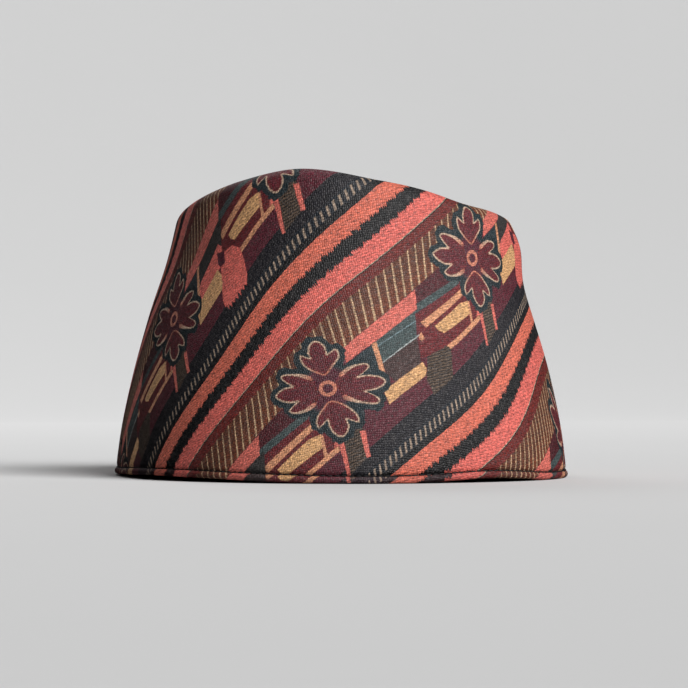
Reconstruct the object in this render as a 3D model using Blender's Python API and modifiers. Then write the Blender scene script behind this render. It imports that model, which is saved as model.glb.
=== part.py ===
"""Dhaka topi: a brimless cap of patterned cloth, made of a tall side wall, a sunken crown and a turned hem.

Metres, +Z up. The rim stands on z = 0, the front is -Y and the long axis is Y. A bearing is counted in degrees
from the front towards +X.
"""

import math
from typing import NamedTuple

import bmesh
import bpy
from mathutils import Vector

MM = 0.001

# How finely the three pieces are divided
BEARING_STEPS = 72
WALL_ROWS = 10
SHOULDER_ROWS = 4
CROWN_ROWS = 6

# Cloth and seams
PLAN_ROUNDNESS = 2.2  # exponent of the plan's superellipse, in which 2 is an ellipse
WALL_THICKNESS = 1.8 * MM
CROWN_THICKNESS = 1.6 * MM
SHOULDER_RADIUS = 6.0 * MM  # outer radius on which the wall's cloth rolls over into the crown
SEAM_SHARE = 0.03  # where the crown's seam lies, as a share of the way from the shoulder to the crown's middle
SEAM_GAP = 0.3 * MM
PROBE = 0.5  # half the step in degrees and in millimetres with which directions are measured

# Crown
CROWN_MIDDLE_HEIGHT = 88.0 * MM
VALLEY_DEPTH = 4.0 * MM  # the soft crease from front to back
VALLEY_HALF_WIDTH = 18.0 * MM

# Hem: the turned edge below the stitch line, and its flap that lies inside the wall
HEM_HEIGHT = 2.5 * MM
HEM_SWELL = 0.3 * MM  # how far the turned edge stands out past the wall
HEM_ROUNDING = 0.6 * MM
FLAP_HEIGHT = 9.0 * MM
FLAP_THICKNESS = 1.1 * MM


class Section(NamedTuple):
    """Half sizes of the wall's plan at one height, in mm."""

    height: float
    half_width: float
    half_length: float


class EdgeHeight(NamedTuple):
    """Height of the top edge at one bearing, in mm."""

    bearing: float
    height: float


class Fold(NamedTuple):
    """A soft bulge or dent of the wall: where it is, how far it spreads and how far it stands out, in mm."""

    bearing: float
    height: float
    bearing_spread: float
    height_spread: float
    out: float


class Lift(NamedTuple):
    """A stretch of the rim that rises off the surface: its middle, its half span and its rise in mm."""

    bearing: float
    half_span: float
    rise: float


SECTIONS = (
    Section(0.0, 81.9, 98.0),
    Section(18.0, 79.7, 95.9),
    Section(38.0, 75.3, 91.7),
    Section(58.0, 69.8, 86.4),
    Section(78.0, 63.3, 80.2),
    Section(98.0, 58.5, 75.6),
    Section(118.0, 52.8, 70.1),
)

TOP_EDGE = (
    EdgeHeight(-180.0, 91.0),
    EdgeHeight(-130.0, 95.0),
    EdgeHeight(-85.0, 100.8),
    EdgeHeight(-55.0, 106.6),
    EdgeHeight(-28.0, 109.7),
    EdgeHeight(5.0, 104.4),
    EdgeHeight(35.0, 98.2),
    EdgeHeight(65.0, 95.8),
    EdgeHeight(95.0, 95.5),
    EdgeHeight(135.0, 92.5),
    EdgeHeight(180.0, 91.0),
)

FOLDS = (
    Fold(90.0, 84.0, 32.0, 11.0, 4.2),  # bulge under the right shoulder
    Fold(-4.0, 0.0, 9.0, 34.0, 1.4),  # front crease
    Fold(180.0, 0.0, 9.0, 34.0, 1.4),  # back crease
)

RIM_LIFTS = (
    Lift(-62.0, 56.0, 1.6),
    Lift(24.0, 27.0, 1.4),
)


def wrapped(degrees):
    """The same bearing between -180 and 180."""
    return (degrees + 180.0) % 360.0 - 180.0


def slope_at(rows, i, column):
    """Slope of a table's column at row i, from the rows beside it."""
    low = rows[max(i - 1, 0)]
    high = rows[min(i + 1, len(rows) - 1)]
    return (high[column] - low[column]) / (high[0] - low[0])


def read_smoothly(rows, at, column):
    """A table's column at any value of its first column, on a smooth curve through the rows."""
    i = 0
    while i < len(rows) - 2 and at > rows[i + 1][0]:
        i += 1
    step = rows[i + 1][0] - rows[i][0]
    t = (at - rows[i][0]) / step
    start = (2 * t**3 - 3 * t**2 + 1) * rows[i][column]
    start += (t**3 - 2 * t**2 + t) * step * slope_at(rows, i, column)
    end = (3 * t**2 - 2 * t**3) * rows[i + 1][column]
    end += (t**3 - t**2) * step * slope_at(rows, i + 1, column)
    return start + end


def top_height(bearing):
    """Height of the top edge."""
    return read_smoothly(TOP_EDGE, wrapped(bearing), 1) * MM


def rim_height(bearing):
    """Height of the rim's lower edge, which is zero where the cap touches the surface."""
    rise = 0.0
    for lift in RIM_LIFTS:
        away = abs(wrapped(bearing - lift.bearing)) / lift.half_span
        if away < 1.0:
            rise += lift.rise * math.cos(away * math.pi / 2) ** 2
    return rise * MM


def fold_out(bearing, height):
    """How far the bulges and dents move the wall outwards."""
    out = 0.0
    for fold in FOLDS:
        across = wrapped(bearing - fold.bearing) / fold.bearing_spread
        along = (height / MM - fold.height) / fold.height_spread
        out += fold.out * math.exp(-(across**2) - along**2)
    return out * MM


def plan_point(bearing, height):
    """Point of the wall's outer face, on a superellipse whose half sizes come from the sections."""
    turn = math.radians(bearing)
    power = 2.0 / PLAN_ROUNDNESS
    out = fold_out(bearing, height)
    half_width = read_smoothly(SECTIONS, height / MM, 1) * MM + out
    half_length = read_smoothly(SECTIONS, height / MM, 2) * MM + out
    x = half_width * math.copysign(abs(math.sin(turn)) ** power, math.sin(turn))
    y = -half_length * math.copysign(abs(math.cos(turn)) ** power, math.cos(turn))
    return Vector((x, y, height))


def inward(bearing, height):
    """Level unit vector that points into the cap, square to the wall's plan."""
    along = plan_point(bearing + PROBE, height) - plan_point(bearing - PROBE, height)
    return Vector((-along.y, along.x, 0.0)).normalized()


def lean(bearing, height):
    """How far the wall leans inwards from upright, in radians."""
    rise = plan_point(bearing, height + PROBE * MM) - plan_point(bearing, height - PROBE * MM)
    return math.atan2(rise.dot(inward(bearing, height)), rise.z)


def crown_slope(bearing):
    """Angle at which the crown falls away from the shoulder, in radians."""
    edge = plan_point(bearing, top_height(bearing))
    valley = 4 * VALLEY_DEPTH * math.exp(-((edge.x / VALLEY_HALF_WIDTH) ** 2))
    fall = 2 * (edge.z - CROWN_MIDDLE_HEIGHT) + valley
    return math.atan2(fall, edge.xy.length)


def shoulder_point(bearing, turned):
    """Point on the roll from the wall to the crown; turned runs from 0 to 1 round it."""
    leaning = lean(bearing, top_height(bearing) - SHOULDER_RADIUS)
    height = top_height(bearing) - SHOULDER_RADIUS * (1 - math.sin(leaning))
    angle = leaning + (math.pi / 2 + crown_slope(bearing) - leaning) * turned
    point = plan_point(bearing, height)
    point += inward(bearing, height) * SHOULDER_RADIUS * (math.cos(leaning) - math.cos(angle))
    point.z += SHOULDER_RADIUS * (math.sin(angle) - math.sin(leaning))
    return point


def crown_point(bearing, share):
    """Point of the crown's upper face; share runs from 0 at the shoulder to 1 in the middle."""
    edge = shoulder_point(bearing, 1.0)
    point = edge * (1 - share)
    valley = VALLEY_DEPTH * math.exp(-((point.x / VALLEY_HALF_WIDTH) ** 2))
    point.z = CROWN_MIDDLE_HEIGHT + (edge.z - CROWN_MIDDLE_HEIGHT) * (1 - share) ** 2
    point.z -= valley * (1 - (1 - share) ** 4)
    return point


def wall_rings():
    """Rings of the wall's outer face, from the stitch line up, over the shoulder and in to the crown's seam."""
    rings = []
    for row in range(WALL_ROWS):
        rings.append([wall_row_point(b, row / WALL_ROWS) for b in bearings()])
    for row in range(SHOULDER_ROWS + 1):
        rings.append([shoulder_point(b, row / SHOULDER_ROWS) for b in bearings()])
    rings.append([crown_point(b, SEAM_SHARE) for b in bearings()])
    return rings


def wall_row_point(bearing, share):
    """Point of the leaning wall; share runs from 0 at the stitch line to 1 at the shoulder."""
    low = rim_height(bearing) + HEM_HEIGHT + SEAM_GAP
    high = shoulder_point(bearing, 0.0).z
    return plan_point(bearing, low + (high - low) * share)


def crown_rings():
    """Rings of the crown's upper face, from its seam inwards."""
    rings = []
    for row in range(CROWN_ROWS):
        rings.append([crown_ring_point(b, row / CROWN_ROWS) for b in bearings()])
    return rings


def crown_ring_point(bearing, share):
    """Point of the crown; share runs from 0 just inside its seam to 1 in the middle."""
    seam = SEAM_SHARE + SEAM_GAP / shoulder_point(bearing, 1.0).xy.length
    return crown_point(bearing, seam + (1 - seam) * share)


def hem_rings():
    """Rings of the hem, once round its section: up the turned edge, in under the wall, and up and down the flap."""
    inner = -WALL_THICKNESS - SEAM_GAP
    back = inner - FLAP_THICKNESS
    section = (
        (-HEM_ROUNDING, 0.0),
        (0.0, HEM_ROUNDING / 2),
        (HEM_SWELL, HEM_HEIGHT / 2),
        (0.0, HEM_HEIGHT - HEM_ROUNDING / 2),
        (-HEM_ROUNDING, HEM_HEIGHT),
        (inner, HEM_HEIGHT),
        (inner, FLAP_HEIGHT),
        (back, FLAP_HEIGHT),
        (back, HEM_ROUNDING),
        (back + HEM_ROUNDING, 0.0),
    )
    return [[hem_point(b, out, up) for b in bearings()] for out, up in section]


def hem_point(bearing, out, up):
    """Point at a distance out from the wall's outer face and up from the rim."""
    height = rim_height(bearing) + up
    return plan_point(bearing, height) - inward(bearing, height) * out


def bearings():
    """The bearings of the pieces' meridians."""
    return [360.0 * step / BEARING_STEPS for step in range(BEARING_STEPS)]


def loft(name, rings, collection, closed_section=False, middle=None):
    """A mesh object through closed rings of points; a closed section joins the last ring to the first."""
    bm = bmesh.new()
    rows = [[bm.verts.new(point) for point in ring] for ring in rings]
    pairs = list(zip(rows, rows[1:]))
    if closed_section:
        pairs.append((rows[-1], rows[0]))
    for low, high in pairs:
        for i in range(BEARING_STEPS):
            j = (i + 1) % BEARING_STEPS
            bm.faces.new((low[i], low[j], high[j], high[i]))
    if middle is not None:
        hub = bm.verts.new(middle)
        for i in range(BEARING_STEPS):
            bm.faces.new((rows[-1][i], rows[-1][(i + 1) % BEARING_STEPS], hub))
    mesh = bpy.data.meshes.new(name)
    bm.to_mesh(mesh)
    bm.free()
    mesh.shade_smooth()
    obj = bpy.data.objects.new(name, mesh)
    collection.objects.link(obj)
    return obj


def thicken(obj, thickness):
    """Gives an open cloth surface its thickness, behind its outer face."""
    solid = obj.modifiers.new("Cloth thickness", "SOLIDIFY")
    solid.thickness = thickness
    solid.offset = -1.0
    solid.use_even_offset = True


def cloth(name, colour, roughness):
    """A plain woven material in one colour."""
    material = bpy.data.materials.new(name)
    material.use_nodes = True
    shader = material.node_tree.nodes["Principled BSDF"]
    shader.inputs["Base Color"].default_value = (*colour, 1.0)
    shader.inputs["Roughness"].default_value = roughness
    shader.inputs["Metallic"].default_value = 0.0
    return material


def make_wall(collection):
    """The side band, with its rolled shoulder."""
    wall = loft("wall", wall_rings(), collection)
    thicken(wall, WALL_THICKNESS)
    wall.data.materials.append(cloth("Dhaka cloth", (0.26, 0.06, 0.05), 0.9))


def make_crown(collection):
    """The sunken top piece, sewn in just inside the shoulder."""
    crown = loft("crown", crown_rings(), collection, middle=crown_point(0.0, 1.0))
    thicken(crown, CROWN_THICKNESS)
    crown.data.materials.append(cloth("Dhaka cloth of the crown", (0.20, 0.05, 0.05), 0.9))


def make_hem(collection):
    """The turned edge that the cap stands on, with its flap inside the wall."""
    hem = loft("hem", hem_rings(), collection, closed_section=True)
    hem.data.materials.append(cloth("Dhaka cloth of the hem", (0.16, 0.05, 0.05), 0.9))


def main():
    for obj in list(bpy.data.objects):
        bpy.data.objects.remove(obj, do_unlink=True)
    collection = bpy.data.collections.new("Dhaka topi")
    bpy.context.scene.collection.children.link(collection)
    make_wall(collection)
    make_crown(collection)
    make_hem(collection)


main()
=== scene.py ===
"""Dhaka topi: the cap's cloth, seams and threads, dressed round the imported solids, with its floor and light.

Metres, +Z up. The rim stands on z = 0, the front is -Y and the long axis is Y. A bearing is counted in
degrees from the front towards +X. The form and the cloth's pattern are worked out in millimetres.
"""

import logging
import math
from dataclasses import dataclass
from enum import Enum
from typing import NamedTuple, Sequence, Union

import bpy
import numpy as np
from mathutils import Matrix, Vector


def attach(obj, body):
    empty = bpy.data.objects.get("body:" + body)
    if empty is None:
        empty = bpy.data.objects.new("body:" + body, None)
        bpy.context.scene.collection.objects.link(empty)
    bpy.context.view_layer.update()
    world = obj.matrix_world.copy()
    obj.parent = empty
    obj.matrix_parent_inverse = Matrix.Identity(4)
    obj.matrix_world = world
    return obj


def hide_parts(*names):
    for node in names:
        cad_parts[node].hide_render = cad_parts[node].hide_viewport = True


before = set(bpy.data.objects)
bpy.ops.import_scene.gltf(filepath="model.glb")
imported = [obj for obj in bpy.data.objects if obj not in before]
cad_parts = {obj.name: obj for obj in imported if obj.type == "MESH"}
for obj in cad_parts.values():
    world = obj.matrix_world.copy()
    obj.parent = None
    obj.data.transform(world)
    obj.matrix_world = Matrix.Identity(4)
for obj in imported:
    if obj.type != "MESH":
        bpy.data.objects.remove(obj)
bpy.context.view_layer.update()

MM = 0.001
SHORTEST = 1e-9  # a vector is never taken to be shorter than this
PLACE_MAP = "Cloth place"  # the UV map that holds a point's place on the flat cloth, in metres

Array = np.ndarray
Socket = bpy.types.NodeSocket
Value = Union["Signal", "Dye", Socket, float, Sequence[float]]

log = logging.getLogger("dhaka_topi")


# The cap's form, in mm


class Section(NamedTuple):
    """Half sizes of the wall's plan at one height."""

    height: float
    half_width: float
    half_length: float


class EdgeHeight(NamedTuple):
    """Height of the top edge at one bearing."""

    bearing: float
    height: float


class Fold(NamedTuple):
    """A soft bulge or dent of the wall: where it is, how far it spreads and how far it stands out."""

    bearing: float
    height: float
    bearing_spread: float
    height_spread: float
    out: float


class Lift(NamedTuple):
    """A stretch of the rim that rises off the surface: its middle, its half span and its rise."""

    bearing: float
    half_span: float
    rise: float


SECTIONS = (
    Section(0.0, 81.9, 98.0),
    Section(18.0, 79.7, 95.9),
    Section(38.0, 75.3, 91.7),
    Section(58.0, 69.8, 86.4),
    Section(78.0, 63.3, 80.2),
    Section(98.0, 58.5, 75.6),
    Section(118.0, 52.8, 70.1),
)

TOP_EDGE = (
    EdgeHeight(-180.0, 91.0),
    EdgeHeight(-130.0, 95.0),
    EdgeHeight(-85.0, 100.8),
    EdgeHeight(-55.0, 106.6),
    EdgeHeight(-28.0, 109.7),
    EdgeHeight(5.0, 104.4),
    EdgeHeight(35.0, 98.2),
    EdgeHeight(65.0, 95.8),
    EdgeHeight(95.0, 95.5),
    EdgeHeight(135.0, 92.5),
    EdgeHeight(180.0, 91.0),
)

FOLDS = (
    Fold(90.0, 84.0, 32.0, 11.0, 4.2),  # bulge under the right shoulder
    Fold(-4.0, 0.0, 9.0, 34.0, 1.4),  # front crease
    Fold(180.0, 0.0, 9.0, 34.0, 1.4),  # back crease
)

RIM_LIFTS = (
    Lift(-62.0, 56.0, 1.6),
    Lift(24.0, 27.0, 1.4),
)


def wrapped(degrees: Array) -> Array:
    """The same bearings between -180 and 180."""
    return (degrees + 180.0) % 360.0 - 180.0


def read_smoothly(rows: Sequence[Sequence[float]], at: Array, column: int) -> Array:
    """Reads a table's column at any values of its first column, on a smooth cubic curve through the rows.

    Args:
        rows: the table, in rising order of its first column.
        at: where to read it.
        column: which column.

    Returns:
        The column's value at each place.
    """
    table = np.array(rows, float)
    known, values = table[:, 0], table[:, column]
    before = np.maximum(np.arange(len(known)) - 1, 0)
    after = np.minimum(np.arange(len(known)) + 1, len(known) - 1)
    slopes = (values[after] - values[before]) / (known[after] - known[before])
    low = np.clip(np.searchsorted(known, at, side="left") - 1, 0, len(known) - 2)
    step = known[low + 1] - known[low]
    t = (at - known[low]) / step
    start = (2 * t**3 - 3 * t**2 + 1) * values[low] + (t**3 - 2 * t**2 + t) * step * slopes[low]
    end = (3 * t**2 - 2 * t**3) * values[low + 1] + (t**3 - t**2) * step * slopes[low + 1]
    return start + end


def unit(vectors: Array) -> Array:
    """The vectors at length one."""
    return vectors / np.maximum(np.linalg.norm(vectors, axis=-1, keepdims=True), SHORTEST)


def bearings(count: int) -> Array:
    """Even bearings all the way round from the back, which comes again at the end."""
    return np.linspace(-180.0, 180.0, count + 1)


@dataclass(frozen=True)
class CapForm:
    """The cap's outer form: a leaning wall on a superellipse plan, a rolled shoulder and a sunken crown."""

    roundness: float = 2.2
    wall_thickness: float = 1.8
    crown_thickness: float = 1.6
    shoulder_radius: float = 6.0
    seam_share: float = 0.03
    seam_gap: float = 0.3
    probe: float = 0.5
    crown_middle_height: float = 88.0
    valley_depth: float = 4.0
    valley_half_width: float = 18.0
    hem_height: float = 2.5
    seam_points: int = 1440
    foot_stitch_rise: float = 0.15  # above the hem
    foot_stitch_sunk: float = 0.25
    crown_radius: float = 60.0  # the mean one, from which the seam's share of the crown is taken
    crown_stitch_sunk: float = 0.45
    back_seam_start: float = 0.02
    back_seam_end: float = 1.6
    back_seam_points: int = 200
    back_stitch_sunk: float = 0.1

    def top_height(self, bearing: Array) -> Array:
        """Height of the top edge."""
        return read_smoothly(TOP_EDGE, wrapped(bearing), 1)

    def rim_height(self, bearing: Array) -> Array:
        """Height of the rim's lower edge: a squared cosine over each lifted stretch."""
        rise = np.zeros_like(bearing)
        for lift in RIM_LIFTS:
            away = np.minimum(np.abs(wrapped(bearing - lift.bearing)) / lift.half_span, 1.0)
            rise = rise + lift.rise * np.cos(away * math.pi / 2) ** 2
        return rise

    def fold_out(self, bearing: Array, height: Array) -> Array:
        """How far the bulges and dents move the wall outwards: a bell curve for each."""
        out = np.zeros(np.broadcast(bearing, height).shape)
        for fold in FOLDS:
            across = wrapped(bearing - fold.bearing) / fold.bearing_spread
            along = (height - fold.height) / fold.height_spread
            out = out + fold.out * np.exp(-(across**2) - along**2)
        return out

    def plan_point(self, bearing: Array, height: Array) -> Array:
        """Points of the wall's outer face, on a superellipse whose half sizes come from the sections."""
        turn = np.radians(bearing)
        power = 2.0 / self.roundness
        out = self.fold_out(bearing, height)
        half_width = read_smoothly(SECTIONS, height, 1) + out
        half_length = read_smoothly(SECTIONS, height, 2) + out
        x = half_width * np.copysign(np.abs(np.sin(turn)) ** power, np.sin(turn))
        y = -half_length * np.copysign(np.abs(np.cos(turn)) ** power, np.cos(turn))
        return np.stack([x, y, height + 0.0 * x], axis=-1)

    def inward(self, bearing: Array, height: Array) -> Array:
        """Level unit vectors that point into the cap, square to the wall's plan."""
        along = self.plan_point(bearing + self.probe, height) - self.plan_point(bearing - self.probe, height)
        return unit(np.stack([-along[..., 1], along[..., 0], 0.0 * along[..., 0]], axis=-1))

    def lean(self, bearing: Array, height: Array) -> Array:
        """How far the wall leans inwards from upright, in radians."""
        rise = self.plan_point(bearing, height + self.probe) - self.plan_point(bearing, height - self.probe)
        return np.arctan2((rise * self.inward(bearing, height)).sum(-1), rise[..., 2])

    def crown_slope(self, bearing: Array) -> Array:
        """Angle at which the crown falls away from the shoulder, in radians."""
        edge = self.plan_point(bearing, self.top_height(bearing))
        valley = 4 * self.valley_depth * np.exp(-((edge[..., 0] / self.valley_half_width) ** 2))
        fall = 2 * (edge[..., 2] - self.crown_middle_height) + valley
        return np.arctan2(fall, np.hypot(edge[..., 0], edge[..., 1]))

    def shoulder_point(self, bearing: Array, turned: Array) -> Array:
        """Points on the roll from the wall to the crown: an arc, with turned from 0 to 1 round it."""
        top = self.top_height(bearing)
        leaning = self.lean(bearing, top - self.shoulder_radius)
        height = top - self.shoulder_radius * (1 - np.sin(leaning))
        angle = leaning + (math.pi / 2 + self.crown_slope(bearing) - leaning) * turned
        level = self.shoulder_radius * (np.cos(leaning) - np.cos(angle))
        point = self.plan_point(bearing, height + 0.0 * level)
        point = point + self.inward(bearing, height + 0.0 * level) * level[..., None]
        point[..., 2] += self.shoulder_radius * (np.sin(angle) - np.sin(leaning))
        return point

    def crown_point(self, bearing: Array, share: Array) -> Array:
        """Points of the crown's upper face, dished and with a valley: share 0 at the shoulder, 1 inside."""
        edge = self.shoulder_point(bearing, np.ones_like(bearing))
        point = edge * (1 - share)[..., None]
        valley = self.valley_depth * np.exp(-((point[..., 0] / self.valley_half_width) ** 2))
        fall = (edge[..., 2] - self.crown_middle_height) * (1 - share) ** 2
        point[..., 2] = self.crown_middle_height + fall - valley * (1 - (1 - share) ** 4)
        return point

    def wall_foot(self, bearing: Array) -> Array:
        """Height at which the wall's cloth meets the stitch line."""
        return self.rim_height(bearing) + self.hem_height + self.seam_gap

    def wall_point(self, bearing: Array, run: Array) -> Array:
        """Points of the wall's face: run 0 to 1 up it, 1 to 2 round the shoulder, 2 to 3 to the seam."""
        low = self.wall_foot(bearing)
        high = self.shoulder_point(bearing, np.zeros_like(bearing))[..., 2]
        wall = self.plan_point(bearing, low + (high - low) * np.minimum(run, 1.0))
        roll = self.shoulder_point(bearing, np.clip(run - 1.0, 0.0, 1.0))
        crown = self.crown_point(bearing, self.seam_share * np.clip(run - 2.0, 0.0, 1.0))
        upper = np.where((run <= 2.0)[..., None], roll, crown)
        return np.where((run <= 1.0)[..., None], wall, upper)

    def foot_seam(self) -> tuple[Array, Array]:
        """The stitch line round the wall's foot, with its outward unit vectors."""
        bearing = bearings(self.seam_points)
        height = self.rim_height(bearing) + (self.hem_height + self.foot_stitch_rise)
        outward = -self.inward(bearing, height)
        return self.plan_point(bearing, height) - outward * self.foot_stitch_sunk, outward

    def crown_seam(self) -> tuple[Array, Array]:
        """The seam between the shoulder and the crown, with its upward unit vectors."""
        bearing = bearings(self.seam_points)
        share = self.seam_share + 0.5 * self.seam_gap / self.crown_radius
        path = self.crown_point(bearing, np.full_like(bearing, share))
        path[:, 2] -= self.crown_stitch_sunk
        return path, np.tile([0.0, 0.0, 1.0], (len(bearing), 1))

    def back_seam(self) -> tuple[Array, Array]:
        """The seam up the wall's back and over the shoulder, with its outward unit vectors."""
        run = np.linspace(self.back_seam_start, self.back_seam_end, self.back_seam_points)
        bearing = np.full_like(run, 180.0)
        path = self.wall_point(bearing, run)
        outward = -self.inward(bearing, path[:, 2])
        return path - outward * self.back_stitch_sunk, outward


FORM = CapForm()


# How the flat cloth lies on the wall, in mm


class Bend(NamedTuple):
    """A slow bend of the cloth: powers of the two flat coordinates in units of 100 mm, and its size."""

    along_power: int
    up_power: int
    right: float
    up: float


class Drift(NamedTuple):
    """A local drift of the cloth: where it is, how far it spreads and how far it moves the cloth."""

    x: float
    y: float
    spread: float
    right: float
    up: float


BENDS = (
    Bend(2, 0, -2.6, 0.0),
    Bend(1, 1, -6.8, -1.4),
    Bend(0, 2, 9.9, -8.8),
)

DRIFTS = (
    Drift(70.0, 50.0, 35.0, 13.0, -5.0),
    Drift(-30.0, 80.0, 35.0, 7.5, 1.5),
    Drift(-80.0, 80.0, 35.0, -2.5, 2.5),
    Drift(10.0, 30.0, 35.0, -1.0, -4.5),
    Drift(50.0, 0.0, 50.0, 6.0, 6.5),
    Drift(120.0, 20.0, 40.0, 12.0, 10.0),
)


@dataclass(frozen=True)
class ClothLay:
    """How the cloth was laid before the cap was cut: its turn, its slow bends and its local drifts."""

    turn: float = 4.34
    bend_height: float = 50.0
    drift_height: float = 60.0
    widen_along: float = -0.045
    widen_up: float = -0.035
    tilt_along: float = 0.03
    tilt_up: float = -0.02
    flower_x: float = -17.2
    flower_y: float = 33.7

    def unroll(self, bearing: Array, rim: Array, top: Array, length: Array) -> Array:
        """Lays the leaning wall flat, as a cone is: each strip turns by the rings' difference over its slant.

        Args:
            bearing: rising bearings of the meridians, from -180 to 180.
            rim: the rim's points at those bearings.
            top: the points where the shoulder starts.
            length: how far up from the rim each point lies, one row for each bearing.

        Returns:
            Flat places, one for each length.
        """
        low = np.linalg.norm(np.diff(rim[:, :2], axis=0), axis=1)
        high = np.linalg.norm(np.diff(top[:, :2], axis=0), axis=1)
        slant = np.linalg.norm(top - rim, axis=1)
        turned = np.concatenate([[0.0], np.cumsum((low - high) / ((slant[1:] + slant[:-1]) / 2))])
        turned -= np.interp(0.0, bearing, turned)
        middle = (turned[1:] + turned[:-1]) / 2
        across = np.concatenate([[0.0], np.cumsum(low * np.cos(middle))])
        along = np.concatenate([[0.0], np.cumsum(low * np.sin(middle))])
        across -= np.interp(0.0, bearing, across)
        along -= np.interp(0.0, bearing, along)
        flat_x = across[:, None] - length * np.sin(turned)[:, None]
        flat_y = along[:, None] + length * np.cos(turned)[:, None]
        return np.stack([flat_x, flat_y], axis=-1)

    def place(self, flat: Array) -> Array:
        """Turns flat places on the wall into places on the cloth, measured from a flower's middle."""
        along = flat[..., 0] / 100
        up = (flat[..., 1] - self.bend_height) / 100
        bent_x = flat[..., 0].copy()
        bent_y = flat[..., 1].copy()
        for bend in BENDS:
            term = along**bend.along_power * up**bend.up_power
            bent_x += bend.right * term
            bent_y += bend.up * term
        turn = math.radians(self.turn)
        x = bent_x * math.cos(turn) + bent_y * math.sin(turn)
        y = -bent_x * math.sin(turn) + bent_y * math.cos(turn)
        rise = y - self.drift_height
        moved_x = x + self.widen_along * x + self.widen_up * rise
        moved_y = y + self.tilt_along * x + self.tilt_up * rise
        for drift in DRIFTS:
            bell = np.exp(-((x - drift.x) ** 2 + (y - drift.y) ** 2) / drift.spread**2)
            moved_x += drift.right * bell
            moved_y += drift.up * bell
        return np.stack([moved_x - self.flower_x, moved_y - self.flower_y], axis=-1)

    def wall_places(self, bearing: Array, length: Array) -> Array:
        """Places on the cloth of points at these lengths up from the rim, one row for each bearing."""
        rim = FORM.plan_point(bearing, FORM.rim_height(bearing))
        shoulder = FORM.wall_point(bearing, np.ones_like(bearing))
        return self.place(self.unroll(bearing, rim, shoulder, length))


LAY = ClothLay()


# Meshes


def grid_faces(around: int, along: int, closed: bool = True) -> Array:
    """Four-cornered faces of a grid of points.

    Args:
        around: how many points the first direction has.
        along: how many points the second direction has.
        closed: whether the grid closes on itself both ways, or is open both ways.

    Returns:
        The corners' indices, by cell.
    """
    rows, columns = (around, along) if closed else (around - 1, along - 1)
    i, j = np.meshgrid(np.arange(rows), np.arange(columns), indexing="ij")
    i2, j2 = (i + 1) % around, (j + 1) % along
    return np.stack([i * along + j, i2 * along + j, i2 * along + j2, i * along + j2], axis=-1)


def corner_places(places: Array) -> Array:
    """Cloth place of each corner of a closed grid's faces, from one more row of places than of points."""
    after = np.roll(places, -1, axis=1)
    return np.stack([places[:-1], places[1:], after[1:], after[:-1]], axis=2).reshape(-1, 2)


def grid_normals(points: Array) -> Array:
    """Outward normals of a grid that closes round its first direction, from the slopes at its points."""
    around = np.roll(points, -1, axis=0) - np.roll(points, 1, axis=0)
    up = np.gradient(points, axis=1)
    return unit(np.cross(around, up))


def linked(name: str, data: bpy.types.ID) -> bpy.types.Object:
    """Puts a mesh, light or camera into the scene as an object at the origin."""
    obj = bpy.data.objects.new(name, data)
    bpy.context.scene.collection.objects.link(obj)
    return obj


def new_piece(name: str, points: Array, faces: list, places: Array, slots: Array) -> bpy.types.Object:
    """Makes a smooth mesh object at the origin.

    Args:
        name: the object's name.
        points: vertices in mm.
        faces: lists of corner indices.
        places: cloth place of each face corner, in mm.
        slots: material slot of each face.

    Returns:
        The linked object.
    """
    mesh = bpy.data.meshes.new(name)
    mesh.from_pydata((points.reshape(-1, 3) * MM).tolist(), [], faces)
    layer = mesh.uv_layers.new(name=PLACE_MAP)
    layer.data.foreach_set("uv", (places * MM).astype(np.float32).ravel())
    mesh.polygons.foreach_set("material_index", slots.astype(np.int32).ravel())
    mesh.shade_smooth()
    mesh.update()
    return linked(name, mesh)


def cloth_area(obj: bpy.types.Object, slot: int) -> float:
    """Area in square metres of the faces that have one material slot."""
    count = len(obj.data.polygons)
    areas = np.zeros(count)
    slots = np.zeros(count, np.int32)
    obj.data.polygons.foreach_get("area", areas)
    obj.data.polygons.foreach_get("material_index", slots)
    return float(areas[slots == slot].sum())


# The cloth's dyes


class Dye(Enum):
    """The dyed yarns, in screen values from 0 to 255."""

    CORAL = (189, 94, 82)
    ORANGE = (189, 93, 73)
    PINK = (196, 91, 81)
    PEACH = (187, 129, 95)
    MUSTARD = (190, 144, 98)
    CREAM = (179, 151, 128)
    BEIGE = (174, 144, 112)
    PALE = (162, 169, 167)
    MIST = (98, 116, 121)
    RUST = (93, 24, 19)
    BROWN = (84, 44, 27)
    EMBER = (98, 46, 24)
    MAROON = (92, 24, 28)
    WINE = (74, 22, 36)
    PLUM = (78, 23, 35)
    SHADE = (68, 17, 25)
    OLIVE = (79, 63, 50)
    DARK_OLIVE = (39, 30, 26)
    MOSS = (45, 42, 41)
    GREY = (61, 42, 40)
    TEAL = (57, 69, 69)
    DEEP_TEAL = (32, 45, 50)
    SLATE = (22, 20, 26)
    HALO = (18, 33, 38)
    NAVY = (13, 20, 29)
    BLACK = (10, 9, 12)
    TICK = (146, 126, 108)
    ROSE = (176, 108, 86)
    FLECK = (120, 112, 110)

    def linear(self) -> tuple:
        """The dye as linear light, with full alpha."""
        screen = np.array(self.value) / 255
        light = np.where(screen <= 0.04045, screen / 12.92, ((screen + 0.055) / 1.055) ** 2.4)
        return (*light.tolist(), 1.0)


# Node trees


class Fade(NamedTuple):
    """Where a fade starts, at nought, and where it is full, at one."""

    start: float
    full: float


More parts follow.
